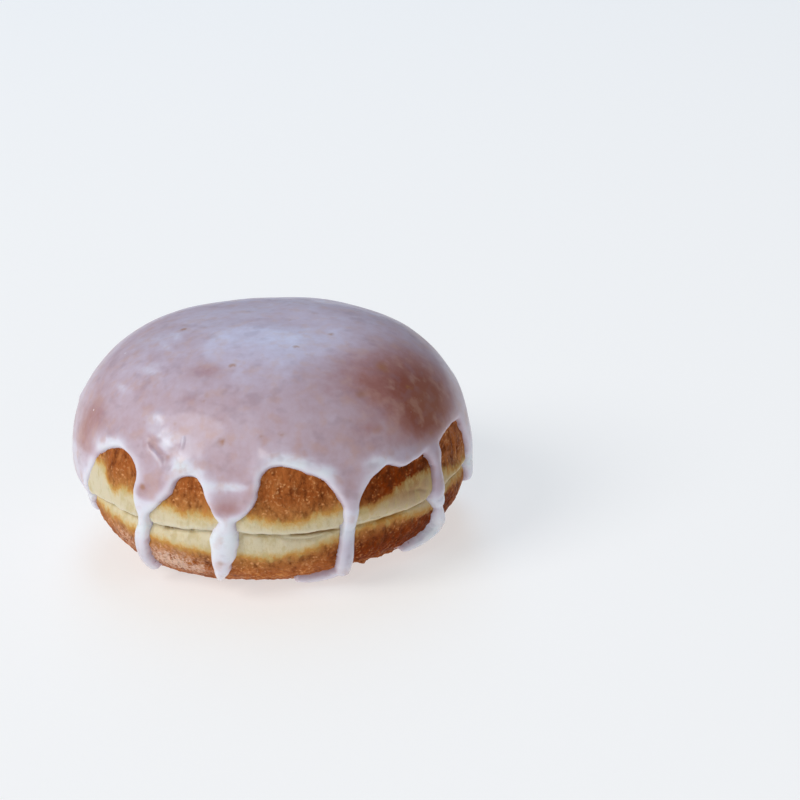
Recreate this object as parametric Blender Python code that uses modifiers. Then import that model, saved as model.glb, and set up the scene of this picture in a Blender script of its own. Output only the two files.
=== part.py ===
"""A jelly filled doughnut: one uncut piece of fried dough, with the filling shut in.

Two rounded halves meet in a crease that runs round the side. The upper half is a full dome,
and the lower half narrows to the flat spot that the doughnut rests on. Units are metres, +Z is
up, and the origin is the middle of the flat spot. The front faces -Y.
"""

import math

import bmesh
import bpy
from mathutils import Vector, noise

NAME = "doughnut"

# Driving dimensions of the turned shape.
WIDTH = 0.092
CREASE_HEIGHT = 0.0181
DOME_HEIGHT = 0.0343
CREASE_DEPTH = 0.0024
UPPER_LIP = 0.0030
LOWER_LIP = 0.0024
LOWER_INSET = 0.0016
REST_WIDTH = 0.040

# How square each curve is: 2 is an ellipse, and more is fuller.
DOME_FULLNESS = (3.05, 2.25)
LIP_FULLNESS = (2.0, 2.0)
BASE_FULLNESS = (3.10, 1.65)

# Unevenness of each half: waves round the side, share of the radius, azimuth of a peak in degrees.
UPPER_SWELLS = ((1, 0.017, -80.0), (2, 0.016, 57.0), (3, 0.004, 20.0))
LOWER_SWELLS = ((1, 0.020, 101.0), (2, 0.023, -52.0), (3, 0.004, 75.0))
SWELL_BLEND = 0.003
CREASE_WAVES = ((1, 0.0003, -60.0), (2, 0.0004, 70.0), (3, 0.0003, -20.0), (9, 0.0005, 23.0))
CREASE_REACH = 0.006
LUMP_SIZE = 0.021
LUMP_HEIGHT = 0.0007
LUMP_SEED = Vector((3.1, 7.7, 1.3))

# Facets round the side, and along each stretch of the profile.
FACETS_ROUND = 84
FACETS_DOME = 17
FACETS_LIP = 4
FACETS_BASE = 12
MERGE = 1e-5

CRUST_COLOUR = (0.42, 0.17, 0.05, 1.0)
CRUST_ROUGHNESS = 0.55


def empty_scene():
    for old in list(bpy.data.objects):
        bpy.data.objects.remove(old)


def quarter_curve(start, end, fullness, steps, leaves_level):
    """A quarter of a superellipse in the profile plane, without its first point.

    It leaves start level and arrives at end upright, or the other way round."""
    powers = tuple(2.0 / power for power in fullness)
    points = []
    for step in range(1, steps + 1):
        angle = math.radians(90.0) * step / steps
        rise, fall = math.sin(angle), math.cos(angle)
        if leaves_level:
            along, across = rise ** powers[0], 1.0 - fall ** powers[1]
        else:
            along, across = 1.0 - fall ** powers[0], rise ** powers[1]
        points.append((start[0] + (end[0] - start[0]) * along, start[1] + (end[1] - start[1]) * across))
    return points


def profile():
    """The half section as (radius, height) points, from the top of the dome to the middle of the base."""
    radius = WIDTH / 2
    top = (0.0, CREASE_HEIGHT + DOME_HEIGHT)
    widest = (radius, CREASE_HEIGHT + UPPER_LIP)
    crease = (radius - CREASE_DEPTH, CREASE_HEIGHT)
    lower_lip = (radius - LOWER_INSET, CREASE_HEIGHT - LOWER_LIP)
    rest_edge = (REST_WIDTH / 2, 0.0)
    upper_lip = quarter_curve(crease, widest, LIP_FULLNESS, FACETS_LIP, True)
    points = [top]
    points += quarter_curve(top, widest, DOME_FULLNESS, FACETS_DOME, True)
    points += list(reversed(upper_lip[:-1])) + [crease]
    points += quarter_curve(crease, lower_lip, LIP_FULLNESS, FACETS_LIP, True)
    points += quarter_curve(lower_lip, rest_edge, BASE_FULLNESS, FACETS_BASE, False)
    points += [(REST_WIDTH / 4, 0.0), (0.0, 0.0)]
    return points


def turned(name, points):
    """The profile spun round the Z axis, as a closed mesh."""
    outline = bpy.data.meshes.new(name + "_profile")
    edges = [(i, i + 1) for i in range(len(points) - 1)]
    outline.from_pydata([(radius, 0.0, height) for radius, height in points], edges, [])
    spindle = bpy.data.objects.new(name + "_profile", outline)
    bpy.context.scene.collection.objects.link(spindle)
    screw = spindle.modifiers.new("turn", "SCREW")
    screw.axis = "Z"
    screw.steps = FACETS_ROUND
    screw.render_steps = FACETS_ROUND
    screw.use_merge_vertices = True
    screw.merge_threshold = MERGE
    shape = bpy.context.evaluated_depsgraph_get()
    mesh = bpy.data.meshes.new_from_object(spindle.evaluated_get(shape))
    bpy.data.objects.remove(spindle)
    work = bmesh.new()
    work.from_mesh(mesh)
    bmesh.ops.remove_doubles(work, verts=work.verts, dist=MERGE)
    work.to_mesh(mesh)
    work.free()
    mesh.name = name
    return mesh


def waves(terms, azimuth):
    return sum(size * math.cos(order * (azimuth - math.radians(peak))) for order, size, peak in terms)


def smooth(share):
    share = min(max(share, 0.0), 1.0)
    return share * share * (3.0 - 2.0 * share)


def uneven(point):
    """Where a point of the turned shape lies on the hand made one."""
    azimuth = math.atan2(point.x, -point.y)
    above = point.z - CREASE_HEIGHT
    upper = smooth(0.5 + above / (2 * SWELL_BLEND))
    swell = 1.0 + upper * waves(UPPER_SWELLS, azimuth) + (1.0 - upper) * waves(LOWER_SWELLS, azimuth)
    near_crease = 1.0 - smooth(abs(above) / CREASE_REACH)
    off_base = smooth(point.z / CREASE_HEIGHT)
    moved = Vector((point.x * swell, point.y * swell, point.z + near_crease * waves(CREASE_WAVES, azimuth)))
    lump = noise.noise(point / LUMP_SIZE + LUMP_SEED) * LUMP_HEIGHT * off_base
    outward = Vector((point.x, point.y, above)).normalized()
    return moved + outward * lump


def settle(mesh):
    """Puts the middle of the mesh's box over the origin."""
    for axis in range(2):
        values = [vertex.co[axis] for vertex in mesh.vertices]
        middle = (min(values) + max(values)) / 2
        for vertex in mesh.vertices:
            vertex.co[axis] -= middle


def crust():
    material = bpy.data.materials.new("browned_crust")
    material.use_nodes = True
    shader = material.node_tree.nodes["Principled BSDF"]
    shader.inputs["Base Color"].default_value = CRUST_COLOUR
    shader.inputs["Roughness"].default_value = CRUST_ROUGHNESS
    shader.inputs["Metallic"].default_value = 0.0
    return material


def doughnut():
    mesh = turned(NAME, profile())
    for vertex in mesh.vertices:
        vertex.co = uneven(vertex.co)
    settle(mesh)
    mesh.shade_smooth()
    mesh.materials.append(crust())
    piece = bpy.data.objects.new(NAME, mesh)
    home = bpy.data.collections.new("jelly_filled_doughnut")
    bpy.context.scene.collection.children.link(home)
    home.objects.link(piece)


empty_scene()
doughnut()
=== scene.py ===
import math

import bpy
import numpy as np
from mathutils import Matrix, Vector, noise


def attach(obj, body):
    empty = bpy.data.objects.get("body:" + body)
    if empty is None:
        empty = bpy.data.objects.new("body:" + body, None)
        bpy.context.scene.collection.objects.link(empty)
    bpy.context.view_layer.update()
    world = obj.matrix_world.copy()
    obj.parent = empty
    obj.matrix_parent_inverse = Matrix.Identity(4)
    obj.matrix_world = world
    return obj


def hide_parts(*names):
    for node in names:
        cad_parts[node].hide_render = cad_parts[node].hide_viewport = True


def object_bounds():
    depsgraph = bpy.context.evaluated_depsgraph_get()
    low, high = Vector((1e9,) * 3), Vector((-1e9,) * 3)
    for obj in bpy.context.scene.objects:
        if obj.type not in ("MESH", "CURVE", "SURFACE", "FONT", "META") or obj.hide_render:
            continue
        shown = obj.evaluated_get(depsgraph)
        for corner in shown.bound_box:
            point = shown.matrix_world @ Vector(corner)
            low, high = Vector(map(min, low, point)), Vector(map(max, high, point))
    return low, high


# A jelly filled doughnut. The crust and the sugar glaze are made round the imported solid.
# The front is -Y. Azimuths are degrees from the front, growing to the right. The tables of places
# are in millimetres, and everything in the scene is in metres.

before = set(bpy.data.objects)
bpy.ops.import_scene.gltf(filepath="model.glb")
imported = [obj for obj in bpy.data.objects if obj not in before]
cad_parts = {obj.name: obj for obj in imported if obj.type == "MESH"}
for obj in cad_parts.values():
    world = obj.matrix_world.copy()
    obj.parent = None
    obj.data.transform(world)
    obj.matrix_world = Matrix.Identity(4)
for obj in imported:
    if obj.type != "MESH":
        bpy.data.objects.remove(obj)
cadLow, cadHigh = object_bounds()
mm = 0.001
sideRadius = (cadHigh.x - cadLow.x) / 2 / mm
print("frame loaded")


def workOn(piece):
    if bpy.context.object and bpy.context.object.mode != "OBJECT":
        bpy.ops.object.mode_set(mode="OBJECT")
    bpy.ops.object.select_all(action="DESELECT")
    piece.select_set(True)
    bpy.context.view_layer.objects.active = piece


def copyOf(source, name):
    piece = bpy.data.objects.new(name, source.data.copy())
    piece.data.name = name
    bpy.context.scene.collection.objects.link(piece)
    workOn(piece)
    return piece


def applied(piece, kind, **settings):
    # adds a modifier with these settings and applies it
    workOn(piece)
    modifier = piece.modifiers.new(kind.lower(), kind)
    for name, value in settings.items():
        setattr(modifier, name, value)
    bpy.ops.object.modifier_apply(modifier=modifier.name)


def points(piece):
    flat = np.empty(len(piece.data.vertices) * 3, np.float32)
    piece.data.vertices.foreach_get("co", flat)
    return flat.reshape(-1, 3).astype(float)


def movePoints(piece, places):
    piece.data.vertices.foreach_set("co", places.astype(np.float32).ravel())
    piece.data.update()


def normals(piece):
    flat = np.empty(len(piece.data.vertices) * 3, np.float32)
    piece.data.vertices.foreach_get("normal", flat)
    return flat.reshape(-1, 3).astype(float)


def selectWhere(piece, chosen):
    # selects these vertices, and the faces that have all their corners among them
    workOn(piece)
    bpy.ops.object.mode_set(mode="EDIT")
    bpy.ops.mesh.select_mode(type="VERT")
    bpy.ops.mesh.select_all(action="DESELECT")
    bpy.ops.object.mode_set(mode="OBJECT")
    piece.data.vertices.foreach_set("select", chosen)
    bpy.ops.object.mode_set(mode="EDIT")


def keepAttribute(piece, name, values):
    attribute = piece.data.attributes.new(name, "FLOAT", "POINT")
    attribute.data.foreach_set("value", values.astype(np.float32))


def readAttribute(piece, name):
    flat = np.empty(len(piece.data.vertices), np.float32)
    piece.data.attributes[name].data.foreach_get("value", flat)
    return flat.astype(float)


def takeAttribute(piece, name):
    # reads an attribute and removes it
    values = readAttribute(piece, name)
    piece.data.attributes.remove(piece.data.attributes[name])
    return values


def smoothStep(low, high, value):
    share = np.clip((value - low) / (high - low), 0, 1)
    return share * share * (3 - 2 * share)


def joined(first, second, reach):
    # the lesser of two distances, rounded where they meet
    share = np.clip(0.5 + 0.5 * (second - first) / reach, 0, 1)
    return second + (first - second) * share - reach * share * (1 - share)


def wrapped(turn):
    # an angle in degrees, from -180 to 180
    return (turn + 180) % 360 - 180


def roundSide(table, azimuth):
    # a smooth closed curve through (azimuth, value) pairs
    table = sorted(table)
    stops = np.array([stop for stop, _ in table], float)
    heights = np.tile([value for _, value in table], 3)
    stops = np.concatenate([stops - 360, stops, stops + 360])
    slopes = (np.roll(heights, -1) - np.roll(heights, 1)) / (np.roll(stops, -1) - np.roll(stops, 1))
    azimuth = wrapped(azimuth)
    before = np.clip(np.searchsorted(stops, azimuth, side="right") - 1, 0, len(stops) - 2)
    gap = stops[before + 1] - stops[before]
    share = (azimuth - stops[before]) / gap
    rest = 1 - share
    return ((1 + 2 * share) * rest ** 2 * heights[before] + share * rest ** 2 * gap * slopes[before]
            + share ** 2 * (3 - 2 * share) * heights[before + 1]
            - share ** 2 * rest * gap * slopes[before + 1])


def smoothLine(line, steps=6):
    # rows of numbers, closely spaced on a smooth curve through the given rows
    line = np.array(line, float)
    places = np.linspace(0, len(line) - 1, len(line) * steps)
    start = np.clip(places.astype(int), 0, len(line) - 2)
    share = (places - start)[:, None]
    ends = np.vstack([2 * line[0] - line[1], line, 2 * line[-1] - line[-2]])
    a, b, c, d = (ends[start + step] for step in range(4))
    return 0.5 * (2 * b + (c - a) * share + (2 * a - 5 * b + 4 * c - d) * share ** 2
                  + (3 * b - a - 3 * c + d) * share ** 3)


def speckle(places, size, seed, octaves=2):
    # soft noise from about -1 to 1, with lumps of this size in millimetres
    shift = Vector((seed * 3.7, seed * 1.3, seed * 7.1))
    return np.array([noise.fractal(Vector(place) / size + shift, 1.0, 2.0, octaves) for place in places])


def blisterCells(places, size, seed):
    # distance from the middle of each blister, and from the seam between blisters, in blister sizes
    shift = Vector((seed * 3.7, seed * 1.3, seed * 7.1))
    near = np.array([noise.voronoi(Vector(place) / size + shift)[0][:2] for place in places])
    return near[:, 0], near[:, 1] - near[:, 0]


def azimuthOf(places):
    return np.degrees(np.arctan2(places[:, 0], -places[:, 1]))


# the form that the crust and the glaze follow
form = copyOf(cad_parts["doughnut"], "form")
bpy.ops.object.mode_set(mode="EDIT")
bpy.ops.mesh.select_all(action="SELECT")
bpy.ops.mesh.remove_doubles(threshold=0.01 * mm)
bpy.ops.mesh.tris_convert_to_quads(face_threshold=math.radians(60), shape_threshold=math.radians(60))
bpy.ops.object.mode_set(mode="OBJECT")
applied(form, "SUBSURF", levels=2, render_levels=2)
formPlaces = points(form) / mm
formOutward = normals(form)
formAzimuth = azimuthOf(formPlaces)
formRadius = np.hypot(formPlaces[:, 0], formPlaces[:, 1])

# distance up the side, so that a drip keeps its length where the side curves under
levels = np.linspace(0, 16, 9)
widths = [formRadius[np.abs(formPlaces[:, 2] - level) < 0.8].mean() for level in levels]
climb = np.concatenate([[0], np.cumsum(np.hypot(np.diff(levels), np.diff(widths)))])


def upSide(height):
    return np.where(height < levels[-1], np.interp(height, levels, climb), climb[-1] + height - levels[-1])


def creaseTable(middle=18.5, reach=4, step=4):
    # the height of the crease all round, where the side is narrowest near the middle height
    table = []
    for turn in range(-180, 180, step):
        near = (np.abs(wrapped(formAzimuth - turn)) < 3) & (np.abs(formPlaces[:, 2] - middle) < reach)
        weight = np.exp((formRadius[near].min() - formRadius[near]) / 0.1)
        table.append((turn, (formPlaces[near, 2] * weight).sum() / weight.sum()))
    return table


creaseHeights = creaseTable()


class Side:
    # azimuth, distance up the side and distance from the axis of many places
    def __init__(self, places):
        self.places = places
        self.azimuth = azimuthOf(places)
        self.height = places[:, 2]
        self.climb = upSide(self.height)
        self.radius = np.maximum(np.hypot(places[:, 0], places[:, 1]), 28)

    def near(self, turn, reach=26):
        # which places lie within this many degrees, and those places alone
        chosen = np.abs(wrapped(self.azimuth - turn)) < reach
        return chosen, Side(self.places[chosen])

    def away(self, turn, level):
        # distance over the side from this azimuth and height
        across = np.radians(wrapped(self.azimuth - turn)) * self.radius
        return np.hypot(across, self.climb - upSide(level))

    def ridges(self, lines):
        # soft ridges along lines of (azimuth, height, half width, rise)
        total = np.zeros(len(self.places))
        for line in lines:
            chosen, side = self.near(line[0][0])
            ridge = np.zeros(len(side.places))
            for turn, level, half, rise in smoothLine(line, 8):
                bump = rise * np.exp(-(side.away(turn, level) / half) ** 2)
                ridge = np.where(np.abs(bump) > np.abs(ridge), bump, ridge)
            total[chosen] += ridge
        return total

    def patches(self, spots):
        # soft oval patches, each (azimuth, height, half width, half height, amount)
        total = np.zeros(len(self.places))
        for turn, level, wide, tall, amount in spots:
            across = np.radians(wrapped(formAzimuth - turn)) * formRadius
            nearest = (across ** 2 + (3 * (formPlaces[:, 2] - level)) ** 2).argmin()
            offset = self.places - formPlaces[nearest]
            outward = formOutward[nearest]
            sideways = np.cross((0, 0, 1), outward)
            sideways /= np.linalg.norm(sideways)
            upward = np.cross(outward, sideways)
            total += amount * np.exp(-(offset @ sideways / wide) ** 2 - (offset @ upward / tall) ** 2
                                     - (offset @ outward / (wide + tall)) ** 2)
        return total


def resurfaced(name, cell):
    # the form in even cells of this size
    piece = copyOf(form, name)
    applied(piece, "REMESH", mode="VOXEL", voxel_size=cell)
    applied(piece, "SHRINKWRAP", target=form, wrap_method="NEAREST_SURFACEPOINT")
    return piece


def refined(piece, chosen):
    # twice as fine on the faces whose corners are all chosen
    selectWhere(piece, chosen)
    bpy.ops.mesh.subdivide(number_cuts=1, quadcorner="INNERVERT")
    bpy.ops.object.mode_set(mode="OBJECT")
    applied(piece, "SHRINKWRAP", target=form, wrap_method="NEAREST_SURFACEPOINT")


def thinned(piece, chosen, share):
    # keeps this share of the faces whose corners are all chosen
    selectWhere(piece, chosen)
    bpy.ops.mesh.decimate(ratio=share)
    bpy.ops.object.mode_set(mode="OBJECT")


print("form ready")

# the glaze's outline
glaze = {
    "cell": 0.9 * mm,
    "blend": 2.4,          # how wide a drip flares into the rim
    "bands": (2.6, 0.8),   # the mesh is twice as fine, and twice again, this near the edge
    "skirt": 1.3,          # how far the hidden margin runs past the edge
    "film": 0.34,          # depth over the dome
    "bead": 0.5,           # depth along the edge
    "thin": [(-62, 27, 9, 8, 0.6), (-46, 31, 3, 4, 0.3)],    # where the edge is thinner
    "beadWidth": 1.25,
    "beadFade": 1.6,
    "sink": 0.45,          # how far the margin lies in the crust
    "wall": 0.35,          # least depth of the shell
    "relaxRounds": 60,
    "fill": 0.8,           # how nearly the drips bridge the crease
    "ripple": 0.04,        # height of the dome's soft unevenness
    # lower edge between the drips, as azimuth and height
    "rim": [(-113, 31), (-108, 29), (-103, 27.5), (-99, 22), (-94, 18.5), (-90, 18), (-86, 14.5), (-80, 13),
            (-72, 16), (-68, 22.5), (-64, 27.8), (-59, 31.3),
            (-53, 33.2), (-48, 33.6), (-43, 31), (-37, 26), (-33, 26.8), (-29.5, 29.2), (-26, 30.8),
            (-24, 31),
            (-21.5, 30.1), (-18, 27), (-10, 25), (-6.5, 27.2), (-4, 31), (-1, 33.3), (3, 33.5), (8, 32),
            (13, 30.2), (17, 27.6), (22, 26.6), (26, 28), (30, 29.6), (33, 30.2), (37, 29), (41, 29),
            (46, 29.7),
            (50, 29.6), (56, 30.5), (66, 31.5), (80, 30), (92, 33), (108, 29.5), (124, 33.5), (140, 30.5),
            (158, 34), (176, 29), (196, 33), (212, 30), (228, 33.5), (242, 31)],
    # each drip's line from the rim down, as azimuth, height, half its width and how far it stands out
    "drips": {
        "left": [(-36, 29, 4.6, 0.2), (-37.5, 27, 4.0, 0.3), (-39.5, 24.6, 3.3, 0.5),
                 (-40.4, 22.3, 2.1, 0.7),
                 (-40.8, 19.8, 1.35, 0.9), (-41.9, 17, 1.6, 1.0), (-43.6, 14, 1.9, 1.0),
                 (-45.0, 10.5, 1.75, 1.1),
                 (-46.4, 7.2, 1.65, 1.2), (-47.4, 5.0, 1.75, 1.2)],
        "middle": [(-12.5, 29.5, 5.6, 0.1), (-12.5, 27.3, 5.2, 0.2), (-13.2, 25.2, 3.7, 0.3),
                   (-13.6, 23, 2.3, 0.6), (-13.6, 21.2, 1.7, 0.9), (-14.4, 19, 2.5, 1.0),
                   (-15.2, 17, 3.2, 1.4),
                   (-15.5, 15.2, 2.9, 1.3), (-15.9, 13.4, 2.7, 1.2), (-16.8, 11.2, 2.2, 1.3),
                   (-17.3, 9.3, 1.8, 1.3),
                   (-18.2, 7.6, 1.45, 1.2), (-18.8, 6.6, 1.15, 1.0)],
        "right": [(20.5, 28.5, 3.6, 0.1), (20.5, 26.3, 2.7, 0.4), (20.6, 24, 2.0, 0.7),
                  (20.4, 21, 1.7, 0.9),
                  (20.4, 18, 1.7, 1.1), (20.3, 14, 1.7, 1.1), (20.4, 11, 1.85, 1.2), (20.6, 8, 2.0, 1.5),
                  (21.0, 5.8, 1.8, 1.6)],
        "end": [(51.4, 28.5, 2.4, 0.5), (51.2, 26.4, 1.7, 0.8), (51.3, 24.2, 1.6, 0.8),
                (51.5, 22, 1.9, 1.0),
                (52.6, 19, 2.3, 1.2), (54.5, 16.5, 2.1, 1.3), (55.2, 15.6, 1.8, 1.2)],
        "lobe": [(55.6, 14.4, 1.2, 0.8), (56.5, 11.9, 1.8, 1.4), (57.6, 10.0, 2.0, 1.8),
                 (57, 8, 2.0, 1.8), (53, 6.4, 1.7, 1.5),
                 (48, 5.6, 1.3, 1.1), (46, 5.4, 0.9, 0.7)],
        "foot": [(6, 4.0, 0.8, 0.5), (11, 3.4, 1.2, 0.8), (17, 3.9, 1.2, 0.9), (20, 5, 1.2, 0.9)],
        "side3": [(-96, 20, 3.0, 0.4), (-97, 16, 2.2, 0.9), (-97.5, 12, 1.9, 1.2), (-98, 8.5, 2.0, 1.4),
                  (-98, 7, 1.6, 1.3)],
        "side4": [(-84, 15, 2.6, 0.5), (-84.5, 12.5, 2.2, 0.9), (-85, 11, 1.8, 1.1)],
        "side1": [(78, 30, 4.5, 0.4), (79, 26, 3.0, 0.9), (80, 21, 2.1, 1.1), (81, 17, 2.4, 1.4),
                  (81, 14.5, 2.0, 1.4)],
        "side2": [(104, 29, 4.2, 0.4), (105, 25, 2.6, 0.9), (106, 19, 1.8, 1.0), (106, 13, 2.0, 1.3),
                  (107, 9, 2.3, 1.6), (107, 6.8, 1.8, 1.5)],
        "back1": [(141, 30, 3.6, 0.4), (141, 26.5, 2.2, 0.9), (142, 23, 2.1, 1.2), (142, 21.5, 1.9, 1.3)],
        "back2": [(173, 29, 6.0, 0.3), (174, 26, 4.6, 0.6), (176, 22, 2.8, 0.9), (177, 17, 2.3, 1.1),
                  (178, 12, 2.6, 1.4), (178, 8, 2.3, 1.6), (179, 5.8, 1.7, 1.4)],
        "back3": [(210, 30, 3.4, 0.4), (211, 26, 2.1, 0.9), (211, 20, 1.7, 1.0), (212, 15, 2.1, 1.4),
                  (212, 12.5, 1.7, 1.3)],
        "back4": [(236, 31, 4.2, 0.4), (237, 27, 2.8, 0.8), (239, 22, 2.1, 1.1), (240, 16, 2.0, 1.2),
                  (240, 10, 2.3, 1.6), (241, 7.5, 1.8, 1.5)],
    },
    # creases and folds where the glaze wrinkled
    "folds": [
        [(-40.5, 36.6, 0.7, 0.0), (-38.4, 35.2, 0.5, 0.22), (-36.2, 34.4, 0.45, 0.3),
        (-34, 33.2, 0.45, 0.22),
         (-32.8, 32, 0.6, 0.0)],
        [(-40, 37.4, 1.2, 0.0), (-37.6, 36.2, 0.9, -0.1), (-35, 35.2, 0.7, -0.14), (-32.4, 34.2, 0.8, -0.1),
         (-31, 33.4, 1.0, -0.05)],
        [(-37, 38.4, 1.6, 0.05), (-34.6, 37.4, 1.3, 0.15), (-32.2, 36.6, 1.0, 0.12),
        (-30.2, 36.2, 0.9, 0.0)],
        [(-31.5, 31, 0.5, -0.05), (-30.4, 32, 0.45, -0.2), (-29.3, 33.2, 0.45, -0.12)],
        [(-30, 31.2, 1.6, 0.14), (-27.6, 32.6, 2.0, 0.24), (-25.5, 33.6, 1.6, 0.14)],
        [(-52, 36.6, 0.7, 0.0), (-50.2, 35.2, 0.7, 0.2), (-48.2, 34.7, 0.8, 0.18), (-46, 33.2, 0.8, 0.0)],
        [(-41, 40.6, 0.9, 0.05), (-39.1, 41.4, 0.8, 0.14), (-37, 41, 0.9, 0.03)],
        [(-27.6, 38.6, 0.4, 0.0), (-27.4, 37.4, 0.35, 0.16), (-27.6, 36.2, 0.4, 0.0)],
        [(150, 38, 0.9, 0.1), (155, 36, 0.7, 0.25), (161, 35.6, 0.9, 0.1)],
        [(-105, 36, 1.0, 0.1), (-100, 34.2, 0.8, 0.22), (-95, 34.6, 0.9, 0.1)],
    ],
    # where the glaze has set in small crinkles, as azimuth, height, half width, half height and amount
    "crinkled": [(-34, 37.5, 7, 4.5, 1.0), (-50, 35, 4, 2.5, 0.7), (-28, 33, 3, 2, 0.6),
                 (-20, 40, 4, 3, 0.3),
                 (155, 37, 6, 4, 0.7), (-100, 35, 6, 4, 0.6), (232, 38, 5, 3, 0.5)],
    "crinkle": 0.022,      # height of the crinkles
    "crinkleSize": 2.6,
    "waver": 0.28,         # how far the edge wanders
    # where the glaze is whiter, or thinner where the amount is below nought; the thin patches on the right
    # side are painted shade, the white patch on the lower right lobe painted light
    "milk": [
        (-57, 32.6, 4.2, 1.3, 0.5), (-53.5, 34.6, 2.6, 1.0, 0.45), (-29.5, 37.9, 3.5, 1.4, 0.22),
        (-36.5, 38.9, 3.2, 1.6, 0.2), (-33, 36.2, 1.6, 1.4, 0.28), (-27.4, 32.8, 1.9, 1.4, 0.65),
        (-23, 32.4, 2.4, 1.1, 0.35), (-39.4, 40.5, 2.6, 1.4, 0.2), (2, 35.0, 3.0, 1.1, 0.5),
        (8, 33.9, 3.0, 1.2, 0.55), (13.5, 31.8, 2.6, 1.3, 0.5), (29, 31.6, 2.6, 1.3, 0.5),
        (38, 31.6, 4.6, 1.6, 0.12), (46, 30.8, 3.4, 1.4, 0.08), (-12, 29.3, 4.5, 0.9, 0.55),
        (-19, 29.6, 1.6, 1.4, 0.3), (-13, 25.0, 3.4, 1.9, -0.38), (-33.5, 28.6, 3.0, 1.6, -0.12),
        (-39, 26.8, 1.8, 1.5, -0.3), (-67, 36.8, 5.5, 4.2, -0.35), (-73.5, 32, 4.4, 5.2, -0.38),
        (-39.4, 35.9, 1.2, 0.7, -0.12), (20.5, 27.8, 1.8, 2.6, -0.2), (-28, 49.2, 4.0, 2.0, -0.22),
        (-29, 44.8, 2.4, 1.3, -0.18), (30.5, 38.2, 2.4, 1.3, -0.2), (-57, 47.3, 4.5, 1.0, 0.2),
        (-72, 51, 4.0, 0.8, 0.18), (-66, 50.2, 3.0, 0.8, 0.15), (-61, 44, 3.2, 0.8, 0.2),
        (-53, 50, 2.6, 0.9, 0.12), (42, 46, 12, 8, -0.32), (57, 40, 12, 10, -0.8), (50, 36, 6, 4, -0.3),
        (100, 45, 12, 5, -0.15),
        (51.5, 22.5, 2.4, 3.4, -0.9),  (53.5, 18, 2, 2, -0.3), (56, 9, 5, 4, 0.35),
        (-7, 28.5, 1.4, 2.2, -0.3), (-46, 31, 1.4, 2.2, -0.25),
        (150, 42, 7, 3, 0.2), (200, 40, 9, 3, -0.2), (235, 44, 8, 4, 0.18)],
    # painted shade: where the drips and the rim are greyed, most on the right side
    "clear": [(21.5, 12, 4, 9, 0.5), (52, 21, 3.5, 6, 0.5), (44, 31, 8, 2.5, 0.2), (-46, 10, 2, 6, 0.2)],
    # where the browned crust shows through, and the broad patch on the right side, which is painted shade
    "spots": [
        (-15.3, 38.0, 0.75, 0.9, 0.9), (-3, 39.3, 0.8, 0.7, 0.45), (3.1, 39.4, 1.1, 0.7, 0.4),
        (-31.8, 34.1, 0.8, 0.6, 0.5), (-38.8, 27.2, 0.9, 0.8, 0.8), (-23.4, 44.7, 0.6, 0.6, 0.55),
        (49, 46.6, 1.5, 1.6, 0.55), (32, 44.0, 1.6, 1.2, 0.5), (32, 37.6, 1.4, 1.0, 0.35),
        (-73.5, 36.5, 1.6, 3.2, 0.08), (-45.5, 30.0, 0.8, 1.6, 0.35), (-27, 45.5, 1.2, 0.8, 0.25),
        (-14.5, 10.5, 0.8, 1.2, 0.4), (-16.8, 12.2, 0.9, 0.7, 0.55), (56, 38, 12, 9, 0.36),
        (52.4, 22.2, 0.9, 0.8, 0.9),
        (-71, 37, 6, 5.5, 0.06), (168, 44, 6, 4, 0.25)],
}


def glazeField(side):
    # distance outside the glaze in millimetres, negative inside, and how far its drips stand out
    nudge = 0.5
    tilt = (roundSide(glaze["rim"], side.azimuth + nudge) - roundSide(glaze["rim"], side.azimuth - nudge))
    tilt /= math.radians(2 * nudge) * sideRadius
    outside = (upSide(roundSide(glaze["rim"], side.azimuth)) - side.climb) / np.sqrt(1 + tilt ** 2)
    swell = np.zeros(len(side.places))
    drips = np.full(len(side.places), 1e3)
    for line in glaze["drips"].values():
        chosen, beside = side.near(line[0][0])
        drip = drips[chosen]
        bulge = np.zeros(len(beside.places))
        for turn, level, half, rise in smoothLine(line):
            away = beside.away(turn, level)
            drip = np.minimum(drip, away - half)
            bulge = np.maximum(bulge, rise * np.sqrt(np.clip(1 - (away / half) ** 2, 0, 1)))
        drips[chosen] = drip
        swell[chosen] = np.maximum(swell[chosen], bulge)
    outside = joined(outside, drips, glaze["blend"])
    close = np.abs(outside) < 4
    outside[close] += glaze["waver"] * speckle(side.places[close], 3.2, 8)
    return outside, swell


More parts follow.
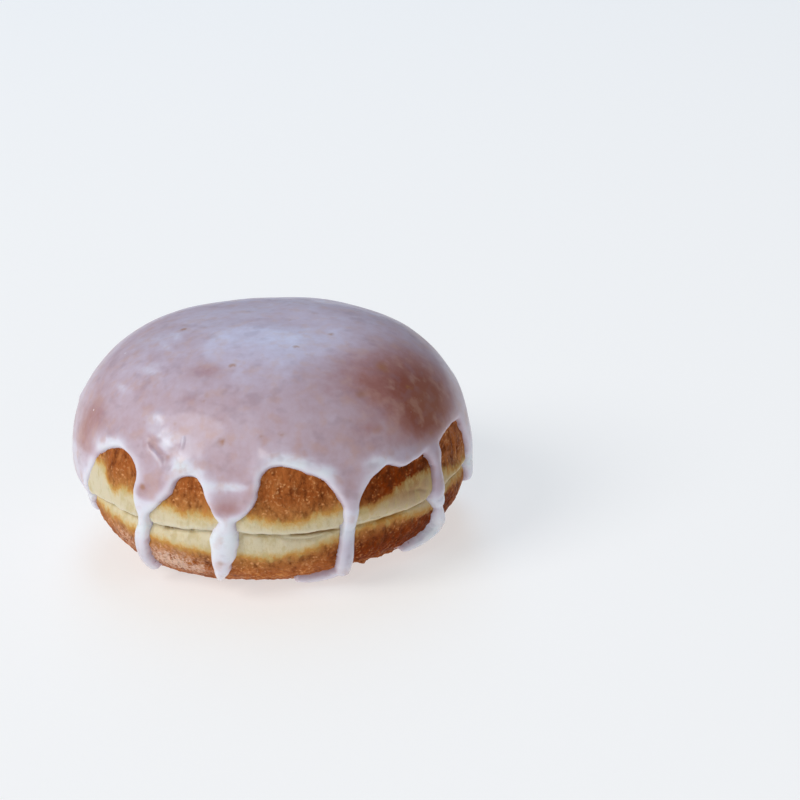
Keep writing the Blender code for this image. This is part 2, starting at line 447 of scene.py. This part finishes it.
# the crust
crust = {
    "cell": 0.9 * mm,
    "meshFine": 1.2,       # the mesh is twice as fine outside the glaze, and this far under its edge
    "meshCrease": 1.1,     # twice again this near the crease
    "meshHidden": 2.2,     # and thinned out this far under the glaze, to the share below
    "meshShare": 0.2,
    # upper and lower edges of the pale belt, as azimuth and height
    "beltTop": [(-75, 28), (-63, 28.4), (-57.5, 27.3), (-54, 23.6), (-50, 24.4), (-43, 24.4), (-36, 23.7),
                (-31, 23.2), (-27, 22.4), (-18, 22.6), (-8, 22.9), (2, 20.6), (10, 21.7), (17, 22.6),
                (26, 21.5), (34, 23.6),
                (40, 25), (50, 24.5), (60, 21.5), (75, 19.8), (100, 24), (130, 22.5), (160, 24), (190, 23),
                (220, 25), (250, 24)],
    "beltBottom": [(-75, 16), (-60, 16), (-50, 15.2), (-40, 14.5), (-30, 14), (-21, 13.5), (-8, 12.4),
                   (4, 12.2), (11, 13.7), (18, 15.2), (28, 16.3), (38, 15.9), (50, 14.6), (62, 16.4),
                   (75, 17),
                   (100, 13.2), (130, 14.5), (160, 13), (190, 14.2), (220, 13), (250, 14.5)],
    "lump": 0.16,          # height of the broad unevenness
    "blister": 0.24,       # height of the blisters on the browned part
    "blisterSize": 1.5,
    "sway": 0.55,          # how far the blisters' outlines sway
    "seam": 0.14,          # half width of the seams between blisters, in blister sizes
    "wrinkle": 0.14,       # height of the upright wrinkles on the browned part
    "pucker": 0.2,         # height of the folds that run down the pale belt
    "cut": 0.75,           # depth of the line in the crease
    "cutWidth": 0.42,
    "lip": 0.4,            # how far the belt's upper half bulges over the crease
    "ragged": 1.3,         # height of the crumbs where the foot is torn
    "bitten": 1.1,         # how much is missing there
    # short folds beside the crease, as azimuth, height, half width and depth
    "folds": [
        [(-1, 17.6, 0.25, -0.1), (3, 16.4, 0.3, -0.45), (7.8, 15.8, 0.3, -0.55), (12, 16.0, 0.3, -0.45),
         (15.6, 17.0, 0.25, -0.1)],
        [(-36, 17.6, 0.4, -0.1), (-32, 16.6, 0.4, -0.3), (-28, 16.4, 0.4, -0.1)],
        [(26, 18.6, 0.4, -0.1), (31, 18.2, 0.4, -0.35), (37, 19.0, 0.4, -0.15)],
        [(39, 22.6, 0.5, -0.1), (44, 22.0, 0.5, -0.35), (48, 20.6, 0.4, -0.1)],
        [(118, 17.2, 0.4, -0.1), (125, 16.2, 0.4, -0.4), (133, 17.0, 0.4, -0.1)],
        [(188, 20.4, 0.4, -0.1), (195, 20.8, 0.4, -0.35), (203, 19.8, 0.4, -0.1)],
        [(222, 17.0, 0.4, -0.1), (228, 16.2, 0.4, -0.35), (233, 17.2, 0.4, -0.1)],
    ],
    # where the crust is baked darker, and on the right side painted shade
    "roast": [(38, 26, 13, 6, 0.9), (42, 21.5, 8, 3, 0.25), (34, 9, 14, 5, 0.95), (60, 12, 10, 9, 0.7),
              (10, 27, 5, 5, 0.3),
              (3, 6, 10, 4, -0.75), (-12, 5, 6, 3, -0.4), (-1, 25, 5, 4, -0.15), (-60, 9, 6, 4, -0.2),
              (-38, 21, 4, 4, 0.1), (95, 20, 9, 12, 0.5), (160, 25, 9, 5, 0.5), (185, 8, 9, 4, 0.4),
              (232, 24, 9, 6, 0.4)],
    # where sugar has dried on the foot
    "frost": [(-37, 8.5, 7, 3.2, 1.0), (-29, 7.5, 5, 2.6, 0.7), (-56, 11, 4, 3, 0.4), (122, 9, 7, 3, 0.7),
              (224, 8, 7, 3, 0.8)],
    # where the foot is crumbled, as azimuth, height, half width, half height and amount
    "crumbled": [(35, 2.5, 9, 5, 1.0), (-62, 9, 4, 3, 0.5), (70, 5, 8, 4, 0.8), (150, 4, 10, 4, 0.9),
                 (225, 4, 9, 4, 0.8), (-10, 3, 8, 3, 0.3)],
}


def bakeAt(side):
    # how far past the pale belt's edges, negative in the belt, in millimetres
    above = side.height - roundSide(crust["beltTop"], side.azimuth)
    below = upSide(roundSide(crust["beltBottom"], side.azimuth)) - side.climb
    return np.maximum(above, below)


def makeCrust():
    piece = resurfaced("crust", crust["cell"])
    side = Side(points(piece) / mm)
    outside, _ = glazeField(side)
    refined(piece, (outside > -crust["meshFine"]) & (side.height > 0.9))
    side = Side(points(piece) / mm)
    crease = side.height - roundSide(creaseHeights, side.azimuth)
    outside, _ = glazeField(side)
    folded = np.abs(side.ridges(crust["folds"])) > 0.03
    creased = np.abs(crease + 0.3) < crust["meshCrease"]
    refined(piece, (creased | folded) & (outside > -crust["meshFine"] / 2))
    side = Side(points(piece) / mm)
    outside, _ = glazeField(side)
    thinned(piece, outside < -crust["meshHidden"], crust["meshShare"])

    here = points(piece)
    outward = normals(piece)
    places = here / mm
    side = Side(places)
    outside, _ = glazeField(side)
    bare = smoothStep(-1.0, 0.2, outside)
    clear = smoothStep(0.2, 1.6, outside)
    crease = side.height - roundSide(creaseHeights, side.azimuth)
    bake = bakeAt(side)
    browned = smoothStep(-0.5, 1.4, bake)

    warped = places + crust["sway"] * np.stack([speckle(places, 1.6, seed, 1) for seed in (11, 12, 13)], 1)
    middle, seam = blisterCells(warped * np.array([1, 1, 0.6]), crust["blisterSize"], 3)
    wrinkles = speckle(warped * np.array([1, 1, 0.4]), 1.1, 2)
    grain = crust["blister"] * (0.42 - middle - 0.5 * np.exp(-(seam / crust["seam"]) ** 2))
    grain *= 0.4 + 0.9 * smoothStep(-0.6, 0.7, speckle(places, 3.5, 14))
    grain += crust["wrinkle"] * wrinkles
    grain *= browned
    relief = crust["lump"] * speckle(places, 4.5, 1) + grain
    relief += (1 - browned) * crust["pucker"] * speckle(places * np.array([1, 1, 0.45]), 2.4, 4)
    relief += clear * crust["lip"] * np.exp(-((crease - 1.5) / 1.0) ** 2)
    depth = crust["cut"] * (0.75 + 0.5 * speckle(places * np.array([1, 1, 0]), 6, 9, 1))
    fold = np.exp(-(crease / crust["cutWidth"]) ** 2)
    relief -= clear * fold * depth
    folds = side.ridges(crust["folds"])
    relief += clear * folds
    relief *= smoothStep(0, 1.0, side.height)
    torn = side.patches(crust["crumbled"]) * smoothStep(10, 4, side.height)
    relief += torn * (crust["ragged"] * speckle(places, 2.8, 7, 3) - crust["bitten"])
    places = here + outward * (relief * bare * mm)[:, None]
    places[:, 2] = np.maximum(places[:, 2], cadLow.z)
    movePoints(piece, places)
    piece.data.shade_smooth()
    keepAttribute(piece, "bake", bake)
    keepAttribute(piece, "grain", grain)
    keepAttribute(piece, "crease", crease)
    # painted shade: how deep the crease and the short folds are, for darkening them
    keepAttribute(piece, "fold", np.clip(fold * depth / crust["cut"] - folds, 0, 1))
    keepAttribute(piece, "frost", side.patches(crust["frost"]))
    # real browning, and painted shade on the right side
    keepAttribute(piece, "roast", side.patches(crust["roast"]))
    print("crust:", len(piece.data.polygons), "faces")
    return piece


def onEdge(piece, upper, reach):
    # slides the points that lie this near the glaze's edge onto it
    here = points(piece)
    side = Side(here / mm)
    outside, _ = glazeField(side)
    chosen = upper & (np.abs(outside) < reach)
    near = here[chosen]
    outward = normals(piece)[chosen]
    step = 0.05
    slope = np.zeros_like(near)
    for axis in range(3):
        nudge = np.zeros(3)
        nudge[axis] = step
        ahead, _ = glazeField(Side(near / mm + nudge))
        slope[:, axis] = (ahead - outside[chosen]) / step
    slope -= outward * (slope * outward).sum(1)[:, None]
    slope /= np.maximum((slope ** 2).sum(1), 0.25)[:, None]
    here[chosen] -= slope * outside[chosen][:, None] * mm
    movePoints(piece, here)


def makeGlaze():
    piece = resurfaced("glaze", glaze["cell"])
    soft = copyOf(piece, "soft")
    applied(soft, "SMOOTH", factor=0.5, iterations=glaze["relaxRounds"])
    outward = normals(soft)
    proud = ((points(piece) - points(soft)) * outward).sum(1) / mm
    bpy.data.objects.remove(soft)
    keepAttribute(piece, "proud", proud)
    for axis, name in enumerate(("outwardX", "outwardY", "outwardZ")):
        keepAttribute(piece, name, outward[:, axis])

    outside, _ = glazeField(Side(points(piece) / mm))
    selectWhere(piece, outside > glaze["skirt"])
    bpy.ops.mesh.delete(type="VERT")
    bpy.ops.object.mode_set(mode="OBJECT")
    count = len(piece.data.vertices)
    applied(piece, "SOLIDIFY", thickness=glaze["wall"] * mm, offset=-1)
    keepAttribute(piece, "upper", np.arange(len(piece.data.vertices)) < count)
    for band in glaze["bands"]:
        side = Side(points(piece) / mm)
        outside, swell = glazeField(side)
        folded = (np.abs(side.ridges(glaze["folds"])) > 0.04) | (side.patches(glaze["crinkled"]) > 0.25)
        upper = readAttribute(piece, "upper") > 0.99
        refined(piece, upper & ((np.abs(outside) < band) | folded | (swell > 0.1) & (band > 1)))
    upper = takeAttribute(piece, "upper") > 0.99
    onEdge(piece, upper, 0.6 * glaze["cell"] / mm / 4)      # 0.6 of the finest cell

    here = points(piece)
    proud = takeAttribute(piece, "proud")
    outward = np.stack([takeAttribute(piece, name) for name in ("outwardX", "outwardY", "outwardZ")], 1)
    outward /= np.linalg.norm(outward, axis=1)[:, None]
    places = here / mm
    side = Side(places)
    outside, swell = glazeField(side)
    inside = -outside
    bead = glaze["bead"] * (1 + 0.25 * speckle(places, 6, 4, 1)) * (1 - side.patches(glaze["thin"]))
    film = glaze["film"] * (1 + 0.12 * speckle(places, 9, 5, 1))
    deep = film + (bead - film) * np.exp(-np.clip(inside - glaze["beadWidth"], 0, None) ** 2
                                         / (2 * glaze["beadFade"] ** 2))
    rise = np.sqrt(1 - (1 - np.clip(inside / glaze["beadWidth"], 0, 1)) ** 2)
    depth = -joined(-deep * rise, -swell * rise, 0.25)
    folds = side.ridges(glaze["folds"])
    wrinkled = folds + glaze["ripple"] * speckle(places, 12, 6, 2)
    crinkled = side.patches(glaze["crinkled"])
    crinkled = crinkled * smoothStep(0.25, 0.6, crinkled)
    where = crinkled > 0
    middle, seam = blisterCells(places[where], glaze["crinkleSize"], 21)
    wrinkled[where] += crinkled[where] * glaze["crinkle"] * (np.clip(seam * 2.5, 0, 1) - 2.2 * middle + 0.6)
    depth = np.where(inside > 0, np.maximum(depth + wrinkled * rise, 0.12 * rise),
                     np.maximum(inside * 1.2, -glaze["sink"]))
    gap = proud - glaze["fill"]
    level = glaze["fill"] + 0.5 * (gap + np.sqrt(gap ** 2 + 0.4 ** 2))
    lift = (level - proud) * smoothStep(0, 0.5, depth)
    outer = lift + depth
    under = -(glaze["sink"] + glaze["wall"])
    movePoints(piece, here + outward * (np.where(upper, outer, under) * mm)[:, None])

    pale = 1 - smoothStep(-0.5, 1.4, bakeAt(side))
    keepAttribute(piece, "depth", np.where(upper, lift + depth, 0))
    keepAttribute(piece, "inside", inside)
    keepAttribute(piece, "milk", side.patches(glaze["milk"]) + 0.3 * pale)
    keepAttribute(piece, "spot", side.patches(glaze["spots"]))
    # painted shade on the drips and the rim
    keepAttribute(piece, "clear", side.patches(glaze["clear"]))
    keepAttribute(piece, "drip", np.where(upper, swell * rise, 0))
    keepAttribute(piece, "folded", np.clip(3 * np.abs(folds), 0, 1))
    piece.data.shade_smooth()
    print("glaze:", len(piece.data.polygons), "faces")
    return piece


crustPiece = makeCrust()
glazePiece = makeGlaze()


# finishes
def tint(red, green, blue):
    # a screen colour, 0 to 255, as linear light
    linear = [((share / 255 + 0.055) / 1.055) ** 2.4 for share in (red, green, blue)]
    return (*linear, 1.0)


class Wire:
    # one output socket, with arithmetic that adds Math nodes
    def __init__(self, finish, socket):
        self.finish = finish
        self.socket = socket

    def maths(self, operation, first, second):
        return self.finish.node("Math", {"operation": operation}, {0: first, 1: second})

    def __add__(self, other):
        return self.maths("ADD", self, other)

    def __radd__(self, other):
        return self.maths("ADD", other, self)

    def __sub__(self, other):
        return self.maths("SUBTRACT", self, other)

    def __rsub__(self, other):
        return self.maths("SUBTRACT", other, self)

    def __mul__(self, other):
        return self.maths("MULTIPLY", self, other)

    def __rmul__(self, other):
        return self.maths("MULTIPLY", other, self)


class Finish:
    # a material, and one method that adds any node to it
    def __init__(self, name):
        self.material = bpy.data.materials.new(name)
        self.material.use_nodes = True
        self.tree = self.material.node_tree
        self.skin = self.tree.nodes["Principled BSDF"]

    def feed(self, socket, value):
        if isinstance(value, Wire):
            self.tree.links.new(value.socket, socket)
        else:
            socket.default_value = value

    def node(self, kind, settings, sockets, output=0):
        made = self.tree.nodes.new("ShaderNode" + kind)
        for name, value in settings.items():
            if name == "stops":
                for place, colour in value[1:-1]:
                    made.color_ramp.elements.new(place)
                for element, (place, colour) in zip(made.color_ramp.elements, value):
                    element.position = place
                    element.color = colour
            else:
                setattr(made, name, value)
        for name, value in sockets.items():
            self.feed(made.inputs[name], value)
        return Wire(self, made.outputs[output])

    def set(self, name, value):
        self.feed(self.skin.inputs[name], value)

    def mix(self, first, second, share):
        return self.node("Mix", {"data_type": "RGBA"}, {0: share, 6: first, 7: second}, 2)

    def places(self, stretch=(1, 1, 1)):
        spot = self.node("TexCoord", {}, {}, "Object")
        return self.node("Mapping", {}, {"Vector": spot, "Scale": stretch})

    def noise(self, size, detail=2.0, stretch=(1, 1, 1), rough=0.5, output=0):
        # size is that of the lumps in millimetres
        return self.node("TexNoise", {}, {"Vector": self.places(stretch), "Scale": 1 / (size * mm),
                                          "Detail": detail, "Roughness": rough}, output)

    def cells(self, size, sway=0.0, stretch=(1, 1, 1)):
        # distance from the middle of each cell, whose outlines sway by this share of its size
        shake = self.node("VectorMath", {"operation": "SUBTRACT"},
                          {0: self.noise(size, 1, stretch, output="Color"), 1: (0.5, 0.5, 0.5)})
        shaken = self.node("VectorMath", {"operation": "MULTIPLY_ADD"},
                           {0: shake, 1: (2 * sway * size * mm,) * 3, 2: self.places(stretch)})
        return self.node("TexVoronoi", {}, {"Vector": shaken, "Scale": 1 / (size * mm)}, "Distance")

    def attribute(self, name):
        return self.node("Attribute", {"attribute_name": name}, {}, "Fac")

    def between(self, value, low, high):
        # 0 to 1 as value goes from low to high, smoothly
        return self.node("MapRange", {"interpolation_type": "SMOOTHSTEP"},
                         {"Value": value, "From Min": low, "From Max": high})

    def ramp(self, value, stops):
        # the stops are pairs of a value and a screen colour, the lowest value first
        low, high = stops[0][0], stops[-1][0]
        share = self.node("MapRange", {}, {"Value": value, "From Min": low, "From Max": high})
        stops = [((place - low) / (high - low), tint(*colour)) for place, colour in stops]
        return self.node("ValToRGB", {"stops": stops}, {"Fac": share})


# screen colours, from 0 to 255
crustLook = {
    # by how far past the pale belt's edge, in millimetres
    "browning": [(-3.5, (222, 211, 182)), (-1.6, (222, 209, 175)), (-0.6, (217, 191, 138)),
                 (0.3, (205, 154, 82)), (1.5, (185, 124, 67)), (3.2, (177, 111, 59)), (5.5, (172, 98, 48))],
    "toastedAndShaded": (156, 110, 62),       # the belt under the roast patches, on the right side painted shade
    "roastedAndShaded": (134, 54, 0),
    # hollows: random tone, with painted shade where the relief is low
    "dark": (98, 44, 16),
    # blister tops: random tone, with painted light where the relief is high
    "light": (218, 142, 78),
    "blotch": (214, 150, 92),
    # painted glints on the blisters' tops
    "glint": (240, 176, 116),
    "roastedGlint": (212, 122, 36),
    "sugar": (236, 196, 172),
    "vein": (198, 178, 122),
    "lip": (240, 234, 212),          # a painted highlight on the belt just above the crease
    # painted shade in the crease and the folds
    "fold": (142, 98, 44),
}


def crustFinish():
    finish = Finish("friedCrust")
    shade = {name: tint(*colour) for name, colour in crustLook.items() if name != "browning"}
    bake = finish.attribute("bake")
    grain = finish.attribute("grain")
    crease = finish.attribute("crease")
    fold = finish.attribute("fold")
    frost = finish.attribute("frost")
    roast = finish.attribute("roast")
    fine = finish.noise(0.6, 4, rough=0.65)
    coarse = finish.noise(1.8, 3)
    patches = finish.noise(5.0, 2)
    streaks = finish.noise(1.5, 4, (1, 1, 0.4), 0.6)
    mottle = finish.noise(2.6, 4, (1, 1, 0.7), 0.6)
    beads = finish.cells(0.85, 0.6)
    crumbs = finish.cells(1.7, 0.6, (1, 1, 0.6))

    # from the pale belt to the brown, with an uneven edge
    baked = bake + (fine - 0.5) * 1.6 + (streaks - 0.5) * 1.3 + (mottle - 0.5) * 3.4
    browned = finish.between(baked, -0.1, 1.8)
    colour = finish.ramp(baked, crustLook["browning"])
    # the roast patches darken the belt and the brown: real browning, and painted shade on the right side
    colour = finish.mix(colour, shade["toastedAndShaded"], roast * (1 - browned) * 0.9)
    colour = finish.mix(colour, shade["roastedAndShaded"], finish.between(roast * browned, 0, 0.8))

    # darker hollows and lighter blisters, from random tone and, through the relief, painted shade in the
    # hollows and painted light on the blister tops; the bright beads are painted glints
    tops = finish.between(beads, 0.5, 0.12) * finish.between(coarse, 0.38, 0.6)
    pits = finish.between(beads, 0.42, 0.8) * 0.3 + finish.between(crumbs, 0.45, 0.85) * 0.5
    tone = grain * 1.6 + fine + patches * 1.3 + streaks * 2.8 - 2.55 - pits * 0.6 - roast * 0.5
    colour = finish.mix(colour, shade["dark"], finish.between(tone, 0.0, -1.3) * browned * 0.9)
    pale = (1 - roast) * browned
    colour = finish.mix(colour, shade["light"], finish.between(tone, 0.0, 0.9) * pale * 0.5)
    blotches = finish.between(crumbs, 0.5, 0.15) * finish.between(mottle, 0.42, 0.6)
    colour = finish.mix(colour, shade["blotch"], blotches * pale * 0.4)
    glint = finish.mix(shade["glint"], shade["roastedGlint"], roast)
    glints = tops * browned * (1 - 0.3 * roast) * finish.between(patches, 0.35, 0.62)
    colour = finish.mix(colour, glint, glints * 0.8)
    sugary = frost * browned * (finish.between(fine + coarse, 0.8, 1.1) + finish.between(beads, 0.6, 0.25))
    colour = finish.mix(colour, shade["sugar"], sugary)

    # faint veins, a painted highlight on the lip above the crease and painted shade in the crease and the
    # folds on the belt
    veins = finish.between(mottle + streaks, 1.04, 0.8)
    colour = finish.mix(colour, shade["vein"], (1 - browned) * veins * 0.5)
    lip = finish.between(crease, 0.2, 0.8) * finish.between(crease, 2.4, 1.0)
    colour = finish.mix(colour, shade["lip"], lip * (1 - browned) * (1 - roast) * 0.55)
    # painted shade in the crease and the folds
    colour = finish.mix(colour, shade["fold"], finish.between(fold, 0.3, 0.95) * 0.75)
    finish.set("Base Color", colour)
    finish.set("Roughness", 0.36 + 0.3 * fine)
    finish.set("Specular IOR Level", 0.03)
    finish.set("Coat Weight", tops * browned * 0.35)
    finish.set("Coat Roughness", 0.22)
    finish.set("Subsurface Weight", 0.1)
    finish.set("Subsurface Radius", (1.0, 0.5, 0.25))
    finish.set("Subsurface Scale", 0.8 * mm)
    blisters = (fine * 0.6 + tops * 0.3 - pits * 0.7) * (browned + sugary)
    bumps = blisters + (streaks + fine * 0.5) * (1 - browned) * 0.9
    finish.set("Normal", finish.node("Bump", {}, {"Height": bumps, "Strength": 0.85, "Distance": 0.3 * mm}))
    return finish.material


glazeLook = {
    # from the thinnest glaze to the whitest
    "milk": [(-0.4, (152, 86, 72)), (-0.14, (174, 122, 116)), (0.1, (191, 158, 164)),
             (0.34, (207, 189, 202)),
             (0.62, (228, 225, 238)), (1.0, (233, 238, 247))],
    "warm": (204, 164, 150),
    "dim": (158, 126, 138),
    "stainAndShade": (172, 116, 70),         # the crust that shows through, and painted shade on the right side
    # tiny white specks, painted sparkles
    "sparkleSpeck": (245, 245, 250),
    # painted shade on the drips and the rim
    "clear": (168, 166, 190),
}


def glazeFinish():
    finish = Finish("sugarGlaze")
    shade = {name: tint(*colour) for name, colour in glazeLook.items() if name != "milk"}
    depth = finish.attribute("depth")
    inside = finish.attribute("inside")
    drip = finish.attribute("drip")
    folded = finish.attribute("folded")
    patches = finish.attribute("milk")
    spot = finish.attribute("spot")
    clouds = finish.noise(8.0, 3)
    soft = finish.noise(2.4, 4, rough=0.6)
    warmth = finish.noise(3.2, 3)
    dusk = finish.noise(4.2, 2, (1, 1, 1.4))
    crumbs = finish.cells(9.0, 0.1)
    sparkleSpecks = finish.cells(7.5)

    # whiter where the glaze is thick, along its edge and on the drips; the patches add painted shade on the
    # right side and painted light on the lower right lobe
    edge = finish.between(inside + (soft - 0.5) * 1.6 + (clouds - 0.5) * 4.0, 2.2, 0.1)
    beaded = finish.between(drip, 0.45, 1.0)
    unevenness = ((clouds - 0.5) * 0.28 + (soft - 0.5) * 0.3) * (1 - 0.6 * beaded)
    milk = patches * 0.9 + edge * 0.26 + depth * 0.3 + unevenness
    colour = finish.ramp(milk, glazeLook["milk"])
    colour = finish.mix(colour, shade["warm"], finish.between(warmth, 0.48, 0.72) * (1 - edge) * 0.4)
    colour = finish.mix(colour, shade["dim"], finish.between(dusk, 0.52, 0.74) * (1 - edge) * 0.3)
    through = finish.between(crumbs, 0.17, 0.03) * finish.between(soft, 0.42, 0.6) * 0.7
    colour = finish.mix(colour, shade["stainAndShade"], finish.between(spot + through, 0.05, 0.9) * 0.8)
    # painted sparkles on tiny white specks
    colour = finish.mix(colour, shade["sparkleSpeck"], finish.between(sparkleSpecks, 0.04, 0.025) * 0.8)
    # painted shade greys the drips and the rim
    colour = finish.mix(colour, shade["clear"], finish.attribute("clear"))
    finish.set("Base Color", colour)

    gloss = beaded * 0.6 + finish.between(depth, 0.55, 1.1) * 0.4 + folded * 0.3
    finish.set("Roughness", 0.48 + 0.1 * soft - 0.24 * gloss)
    finish.set("Specular IOR Level", 0.3)
    finish.set("Subsurface Weight", 0.6)
    finish.set("Subsurface Radius", (1.0, 0.85, 0.8))
    finish.set("Subsurface Scale", 1.8 * mm)
    finish.set("Coat Roughness", 0.11)
    finish.set("Coat Weight", 0.75 * gloss)
    bumps = finish.noise(1.8, 2) + finish.noise(0.6, 1) * 0.2
    finish.set("Normal", finish.node("Bump", {}, {"Height": bumps, "Strength": 0.18, "Distance": 0.15 * mm}))
    return finish.material


for piece, finish, slot in ((crustPiece, crustFinish(), "crust"), (glazePiece, glazeFinish(), "glaze")):
    piece.data.materials.clear()
    piece.data.materials.append(finish)
    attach(piece, "root")
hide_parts("doughnut")
bpy.data.objects.remove(form)
print("finishes ready")

# the stage
studio = {
    "floorRadius": 9,
    "floorColour": (0.44, 0.425, 0.41),
    "floorGlow": 0.58,
    "ambient": (0.175, 0.178, 0.182),
    "backdrop": (0.93, 0.93, 0.93),
    "lit": (0, 0, 0.03),         # where the lights aim
    # each light's place, size, power and colour
    "lights": {
        "skyLight": ((-0.06, 1.55, 2.32), (1.1, 3.8), 31, (0.38, 0.66, 1.0)),
        "keyLight": ((-2.04, -1.17, 1.86), (1.65, 1.65), 50, (1.0, 0.98, 0.96)),
        "glintLight": ((-0.55, -2.06, 1.49), (0.4, 0.4), 4.5, (1.0, 0.98, 0.95)),
        "fillLight": ((1.6, -1.4, 1.0), (1.6, 1.6), 0.6, (1.0, 0.92, 0.86)),
    },
}
view = {
    "elevation": 22.0,
    "distance": 0.42,
    "aim": (0.0313, 0.0122),     # how far right of the doughnut and above its crease the camera aims
    "roll": -1.65,
    "lens": 78.4,
    "creaseHeight": 0.0181,
}


def makeCamera():
    up = math.radians(view["elevation"])
    middle = Vector((0, 0, view["creaseHeight"]))
    back = Vector((0, -math.cos(up), math.sin(up)))
    across, lift = view["aim"]
    aim = middle + Vector((1, 0, 0)) * across + Vector((0, math.sin(up), math.cos(up))) * lift
    bpy.ops.object.camera_add()
    camera = bpy.context.object
    camera.location = middle + back * view["distance"]
    forward = (aim - camera.location).normalized()
    right = forward.cross(Vector((0, 0, 1))).normalized()
    turned = Matrix.Rotation(math.radians(-view["roll"]), 3, forward)
    right = turned @ right
    above = right.cross(forward)
    camera.rotation_euler = Matrix((right, above, -forward)).transposed().to_euler()
    camera.data.lens = view["lens"]
    camera.data.sensor_width = 36
    camera.data.clip_start = 0.01
    camera.data.clip_end = 20
    bpy.context.scene.camera = camera


def areaLight(name, place, aim, size, power, colour):
    bpy.ops.object.light_add(type="AREA", location=place)
    light = bpy.context.object
    light.name = name
    light.rotation_euler = (Vector(aim) - Vector(place)).to_track_quat("-Z", "Y").to_euler()
    light.data.shape = "ELLIPSE"
    light.data.size, light.data.size_y = size
    light.data.energy = power
    light.data.color = colour


def makeFloor():
    bpy.ops.mesh.primitive_circle_add(vertices=96, radius=studio["floorRadius"], fill_type="NGON")
    floor = bpy.context.object
    floor.name = "floor"
    paper = Finish("paleFloor")
    paper.set("Base Color", (*studio["floorColour"], 1))
    paper.set("Emission Color", (1, 1, 1, 1))
    paper.set("Emission Strength", studio["floorGlow"])
    paper.set("Roughness", 0.9)
    paper.set("Specular IOR Level", 0.1)
    paper.material.cycles.emission_sampling = "NONE"
    floor.data.materials.append(paper.material)


makeCamera()
makeFloor()
for name, (place, size, power, colour) in studio["lights"].items():
    areaLight(name, place, studio["lit"], size, power, colour)
world = bpy.data.worlds.new("studio")
bpy.context.scene.world = world
world.use_nodes = True
air = world.node_tree
backdrop = air.nodes.new("ShaderNodeMix")      # the camera sees a pale backdrop, the doughnut a softer light
backdrop.data_type = "RGBA"
backdrop.inputs[6].default_value = (*studio["ambient"], 1)
backdrop.inputs[7].default_value = (*studio["backdrop"], 1)
sight = air.nodes.new("ShaderNodeLightPath")
air.links.new(sight.outputs["Is Camera Ray"], backdrop.inputs[0])
air.links.new(backdrop.outputs[2], air.nodes["Background"].inputs["Color"])
bpy.context.scene.view_settings.view_transform = "Standard"
print("stage ready")
